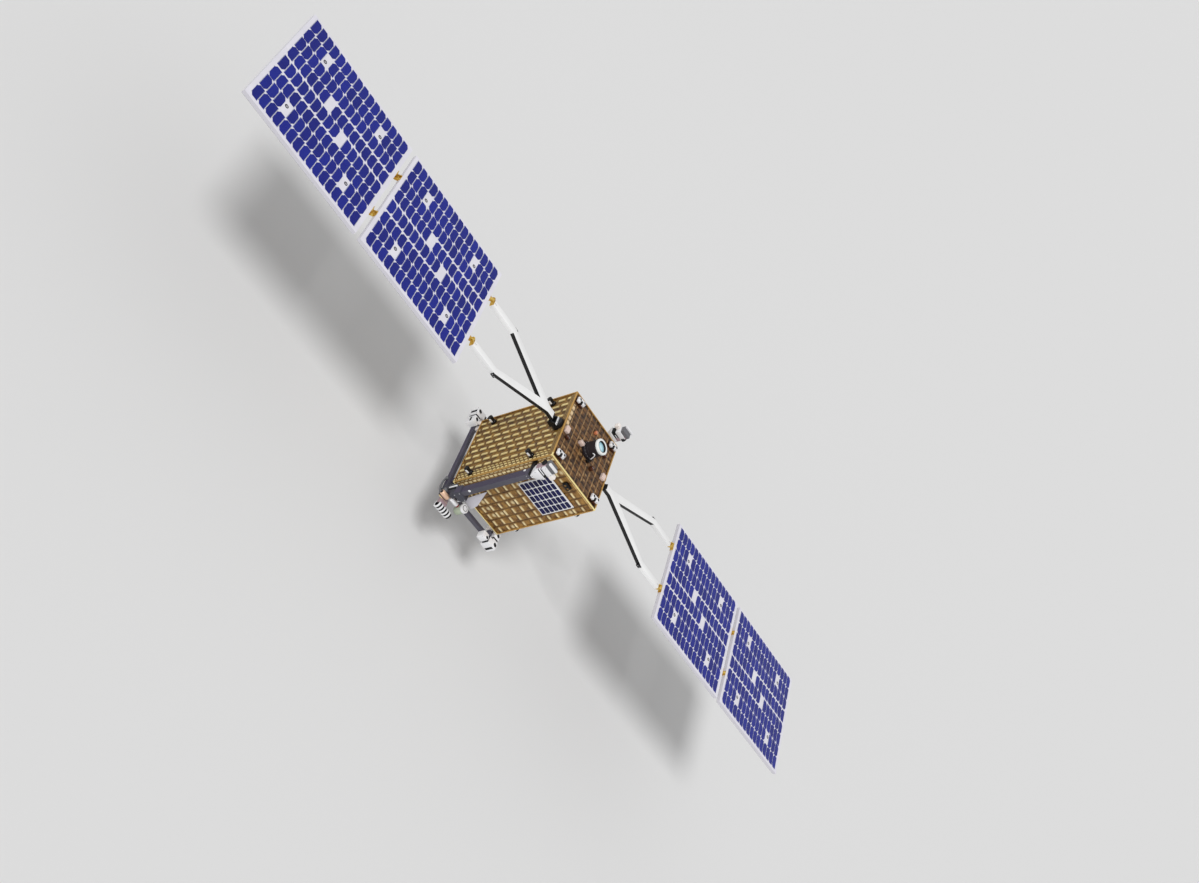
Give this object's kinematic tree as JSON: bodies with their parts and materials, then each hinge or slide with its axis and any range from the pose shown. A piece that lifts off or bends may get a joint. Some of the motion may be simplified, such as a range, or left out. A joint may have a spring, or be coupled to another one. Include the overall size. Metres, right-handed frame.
{
  "type": "earth observation microsatellite",
  "caption": "Box-bodied microsatellite in gold quilted blankets, with V-shaped yokes, folding solar wings that turn on their drives, thruster booms and a small telescope.",
  "frame": {"origin": "on the common axis of the two wing drives, in the middle of the box body", "axes": "+X along the right wing, +Z towards the forward deck with the telescope, -Y out of the front face with the small solar panel"},
  "size_m": [4.6802, 0.7438, 0.794],
  "materials": {
    "closure_panel": "matte",
    "equipment": "matte",
    "gold_blanket": "satin",
    "brown_blanket": "satin",
    "gold_rail": "satin",
    "ring_metal": "satin",
    "boom_grey": "matte",
    "pod_white": "satin",
    "hub_metal": "satin",
    "device_white": "satin",
    "body_panel_white": "satin",
    "solar_cell": "gloss",
    "plate_grey": "satin",
    "sensor_black": "satin",
    "drive_black": "satin",
    "cover_tan": "satin",
    "tube_black": "matte",
    "mouth_white": "satin",
    "mouth_glass": "gloss",
    "yoke_white": "satin",
    "wing_panel": "satin",
    "hinge_gold": "satin"
  },
  "bodies": {
    "bus": {"bus_side_panels": "closure_panel", "forward_deck": "closure_panel", "aft_deck": "closure_panel", "equipment_block": "equipment", "side_blankets": "gold_blanket", "aft_blanket": "gold_blanket", "forward_blanket": "brown_blanket", "edge_rails": "gold_rail", "separation_ring": "ring_metal", "boom_frame": "boom_grey", "long_booms": "boom_grey", "boom_end_pods": "pod_white", "corner_pods": "pod_white", "deck_thruster_pods": "pod_white", "boom_hubs": "hub_metal", "hub_devices": "device_white", "body_solar_panel": "body_panel_white", "body_solar_cells": "solar_cell", "gusset_plate": "plate_grey", "twin_sensor": "sensor_black", "holddown_posts": "sensor_black", "drive_collars": "drive_black", "drive_covers": "cover_tan", "deck_fittings": "cover_tan", "telescope_tube": "tube_black", "telescope_mouth": "mouth_white", "telescope_glass": "mouth_glass"},
    "left_drive": {"left_drive_flange": "drive_black"},
    "left_yoke": {"left_yoke": "yoke_white", "left_yoke_hinges": "hinge_gold"},
    "left_inner": {"left_inner_cells": "solar_cell", "left_inner_panel": "wing_panel", "left_inner_hinges": "hinge_gold"},
    "left_outer": {"left_outer_cells": "solar_cell", "left_outer_panel": "wing_panel", "left_outer_hinges": "hinge_gold"},
    "right_drive": {"right_drive_flange": "drive_black"},
    "right_yoke": {"right_yoke": "yoke_white", "right_yoke_hinges": "hinge_gold"},
    "right_inner": {"right_inner_cells": "solar_cell", "right_inner_panel": "wing_panel", "right_inner_hinges": "hinge_gold"},
    "right_outer": {"right_outer_cells": "solar_cell", "right_outer_panel": "wing_panel", "right_outer_hinges": "hinge_gold"}
  },
  "joints": [
    {"name": "left_drive_turn", "type": "hinge", "parent": "bus", "child": "left_drive", "pos_m": [-0.206, 0, 0], "axis": [1, 0, 0], "continuous": true},
    {"name": "left_root_fold", "type": "hinge", "parent": "left_drive", "child": "left_yoke", "pos_m": [-0.24, 0, -0.02], "axis": [0, -1, 0], "range_deg": [0, 90]},
    {"name": "left_inner_fold", "type": "hinge", "parent": "left_yoke", "child": "left_inner", "pos_m": [-0.882, 0, 0.0145], "axis": [0, 1, 0], "range_deg": [0, 180]},
    {"name": "left_outer_fold", "type": "hinge", "parent": "left_inner", "child": "left_outer", "pos_m": [-1.62085, 0, -0.0135], "axis": [0, -1, 0], "range_deg": [0, 180]},
    {"name": "right_drive_turn", "type": "hinge", "parent": "bus", "child": "right_drive", "pos_m": [0.206, 0, 0], "axis": [1, 0, 0], "continuous": true},
    {"name": "right_root_fold", "type": "hinge", "parent": "right_drive", "child": "right_yoke", "pos_m": [0.24, 0, -0.02], "axis": [0, 1, 0], "range_deg": [0, 90]},
    {"name": "right_inner_fold", "type": "hinge", "parent": "right_yoke", "child": "right_inner", "pos_m": [0.882, 0, 0.0145], "axis": [0, -1, 0], "range_deg": [0, 180]},
    {"name": "right_outer_fold", "type": "hinge", "parent": "right_inner", "child": "right_outer", "pos_m": [1.62085, 0, -0.0135], "axis": [0, 1, 0], "range_deg": [0, 180]}
  ],
  "couplings": [
    {"joint": "left_inner_fold", "follows": "left_root_fold", "ratio": 2},
    {"joint": "left_outer_fold", "follows": "left_root_fold", "ratio": 2},
    {"joint": "right_inner_fold", "follows": "right_root_fold", "ratio": 2},
    {"joint": "right_outer_fold", "follows": "right_root_fold", "ratio": 2}
  ]
}
